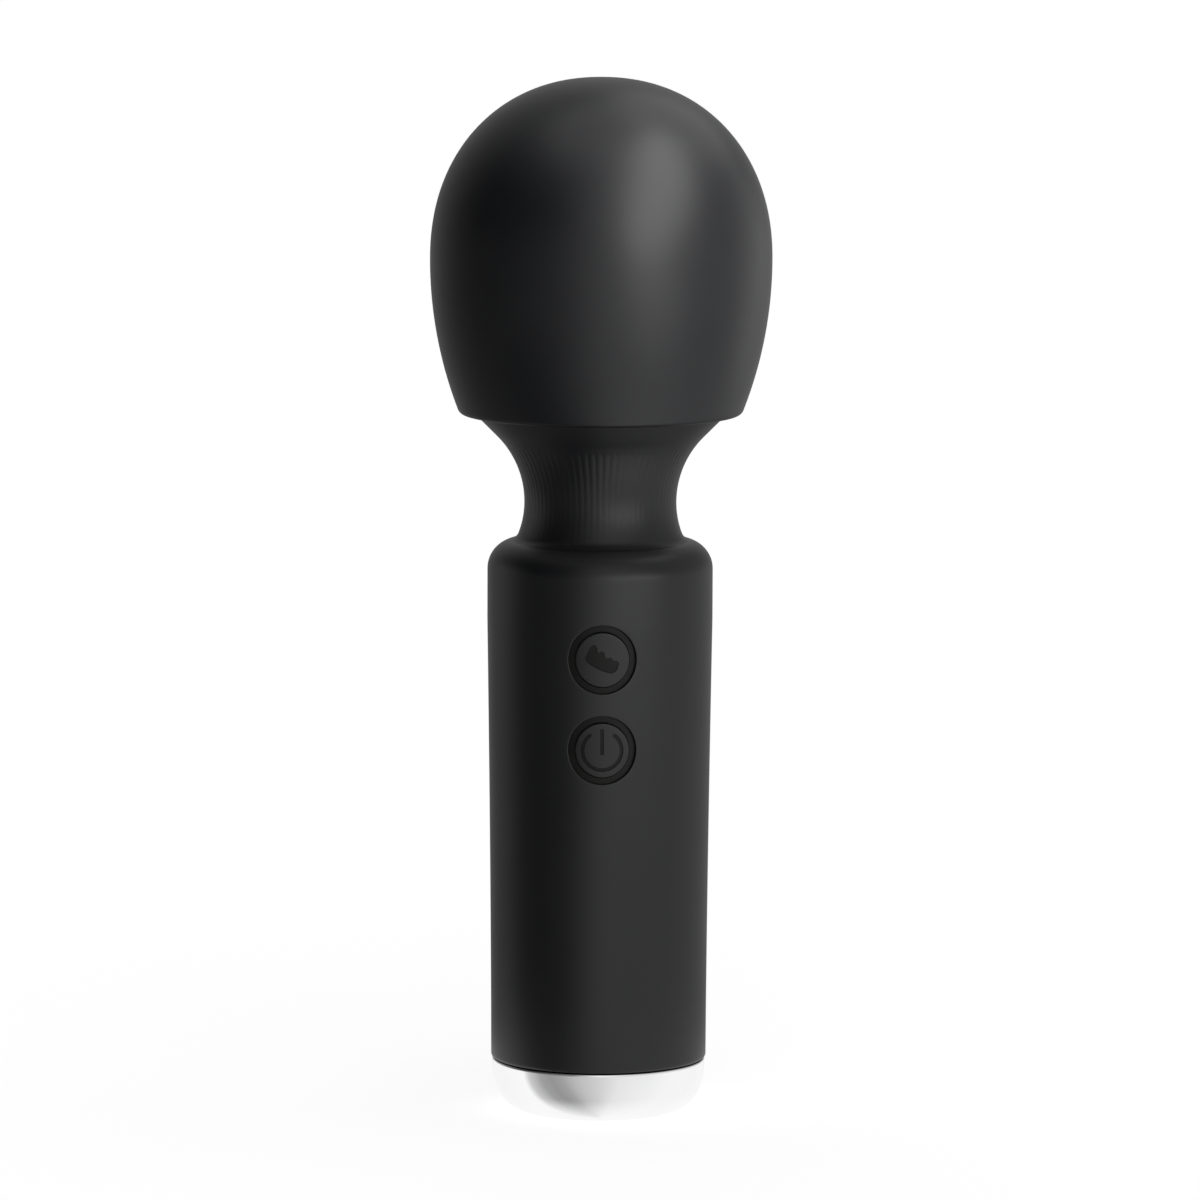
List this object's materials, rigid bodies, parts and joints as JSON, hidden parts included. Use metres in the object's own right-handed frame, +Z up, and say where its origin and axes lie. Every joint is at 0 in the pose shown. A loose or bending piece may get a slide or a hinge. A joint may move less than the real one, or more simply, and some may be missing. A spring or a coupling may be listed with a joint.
{
  "type": "handheld wand massager",
  "caption": "Slim cordless wand massager with a domed vibrating head on a ribbed flexible neck, a round tapered grip with two keys and a bright rounded end cap.",
  "frame": {"origin": "centre of the flat under the end cap that the massager stands on", "axes": "+Z up along the wand towards the crown of the head, the keys face -Y, +X to the right seen from the keys"},
  "size_m": [0.046, 0.046, 0.1401],
  "materials": {
    "black_silicone": "satin",
    "soft_rubber": "matte",
    "polished_cap": "polished",
    "moulded_plastic": "fine texture",
    "pale_plastic": "smooth",
    "dark_plastic": "smooth",
    "board_green": "laminate",
    "steel": "plated",
    "laminations": "stacked sheets",
    "brass": "plated",
    "copper": "enamelled",
    "lead_sheath": "smooth",
    "cell_sleeve": "shrink film",
    "foam": "open cell"
  },
  "bodies": {
    "handle": {"handle_sleeve": "black_silicone", "front_shell": "moulded_plastic", "rear_shell": "moulded_plastic", "shell_screws": "steel", "end_cap": "polished_cap", "cap_seal": "soft_rubber", "circuit_board": "board_green", "board_screws": "steel", "board_components": "dark_plastic", "charge_light": "pale_plastic", "mode_switch": "dark_plastic", "power_switch": "dark_plastic", "cell": "cell_sleeve", "cell_tabs": "steel", "cell_pad": "foam", "charge_jack": "dark_plastic", "jack_contacts": "brass", "jack_seal": "soft_rubber", "cell_leads": "lead_sheath", "jack_leads": "lead_sheath"},
    "neck": {"neck_sleeve": "black_silicone", "neck_core": "soft_rubber", "motor_leads": "lead_sheath"},
    "head": {"head_cover": "black_silicone", "front_capsule": "moulded_plastic", "rear_capsule": "moulded_plastic", "capsule_screws": "steel", "motor_can": "steel", "motor_end_cap": "pale_plastic", "motor_terminals": "brass", "motor_brushes": "copper", "motor_magnets": "dark_plastic", "motor_bushes": "brass", "motor_damper": "soft_rubber"},
    "rotor": {"motor_shaft": "steel", "armature_core": "laminations", "windings": "copper", "commutator": "copper", "eccentric_weight": "brass"},
    "mode_button": {"mode_key": "black_silicone", "mode_plunger": "pale_plastic", "mode_stem": "pale_plastic"},
    "power_button": {"power_key": "black_silicone", "power_plunger": "pale_plastic", "power_stem": "pale_plastic"}
  },
  "joints": [
    {"name": "neck_nod", "type": "hinge", "parent": "handle", "child": "neck", "pos_m": [0, 0, 0.0829], "axis": [1, 0, 0], "range_deg": [-15, 15], "stiffness_Nm_per_rad": 2, "deforming": ["neck_sleeve", "neck_core", "motor_leads"]},
    {"name": "neck_sway", "type": "hinge", "parent": "neck", "child": "head", "pos_m": [0, 0, 0.0895], "axis": [0, 1, 0], "range_deg": [-15, 15], "stiffness_Nm_per_rad": 2, "deforming": ["neck_sleeve", "neck_core", "motor_leads"]},
    {"name": "rotor_spin", "type": "hinge", "parent": "head", "child": "rotor", "pos_m": [0, 0, 0.11], "axis": [0, 0, 1], "continuous": true},
    {"name": "mode_press", "type": "slide", "parent": "handle", "child": "mode_button", "axis": [0, 1, 0], "range_m": [0, 0.0004], "stiffness_N_per_m": 3200, "springref_m": -0.0002},
    {"name": "power_press", "type": "slide", "parent": "handle", "child": "power_button", "axis": [0, 1, 0], "range_m": [0, 0.0004], "stiffness_N_per_m": 3200, "springref_m": -0.0002}
  ]
}
